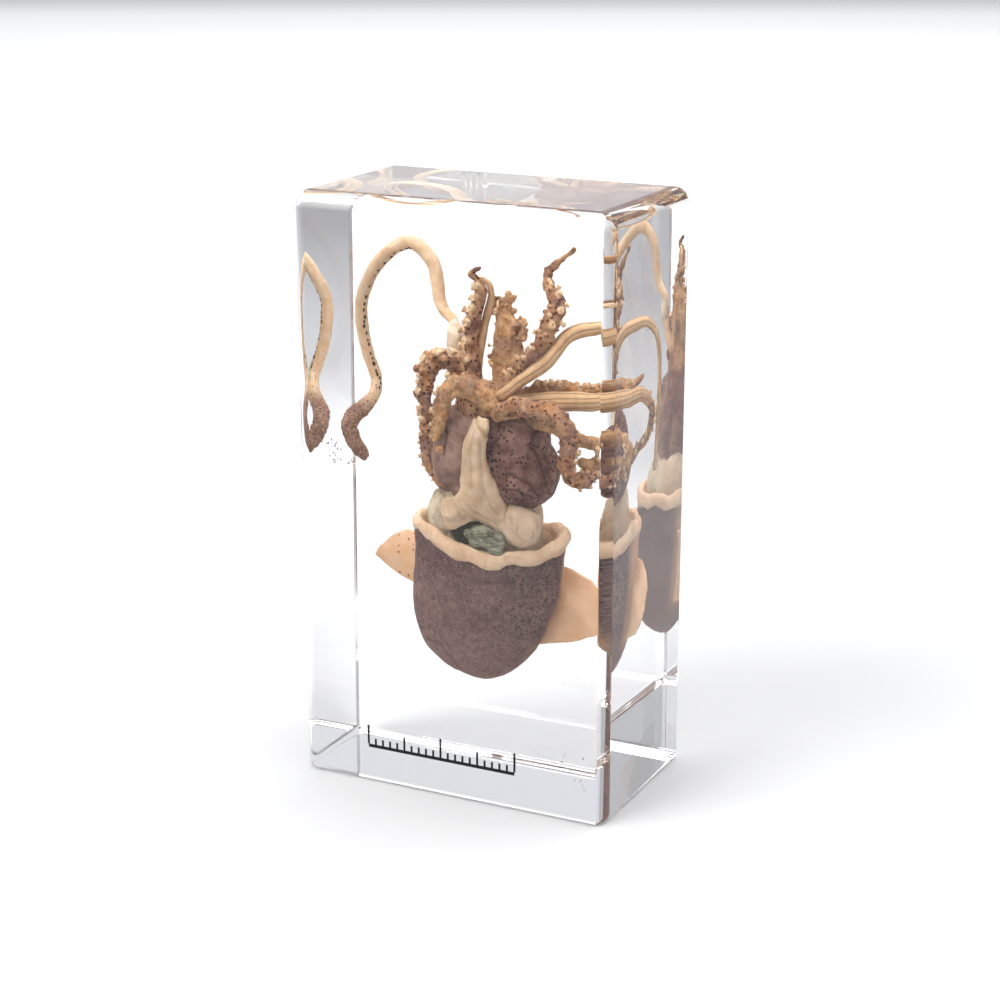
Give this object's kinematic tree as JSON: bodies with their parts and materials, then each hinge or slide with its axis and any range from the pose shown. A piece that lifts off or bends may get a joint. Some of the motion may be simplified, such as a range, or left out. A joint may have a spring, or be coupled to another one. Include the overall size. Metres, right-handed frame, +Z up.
{
  "type": "cuttlefish in acrylic block",
  "caption": "Whole dried cuttlefish cast in a clear upright acrylic block with rounded edges, standing on its flat foot.",
  "frame": {"origin": "under the middle of the block, on the surface that it stands on", "axes": "+Z up along the block's longest side, -Y out of its wide front, +X to the right seen from the front"},
  "size_m": [0.041, 0.024, 0.073],
  "materials": {
    "clear_acrylic": "polished",
    "skin": "satin"
  },
  "bodies": {
    "root": {"block_front": "clear_acrylic", "block_back": "clear_acrylic", "cuttlefish": "skin"}
  },
  "joints": []
}
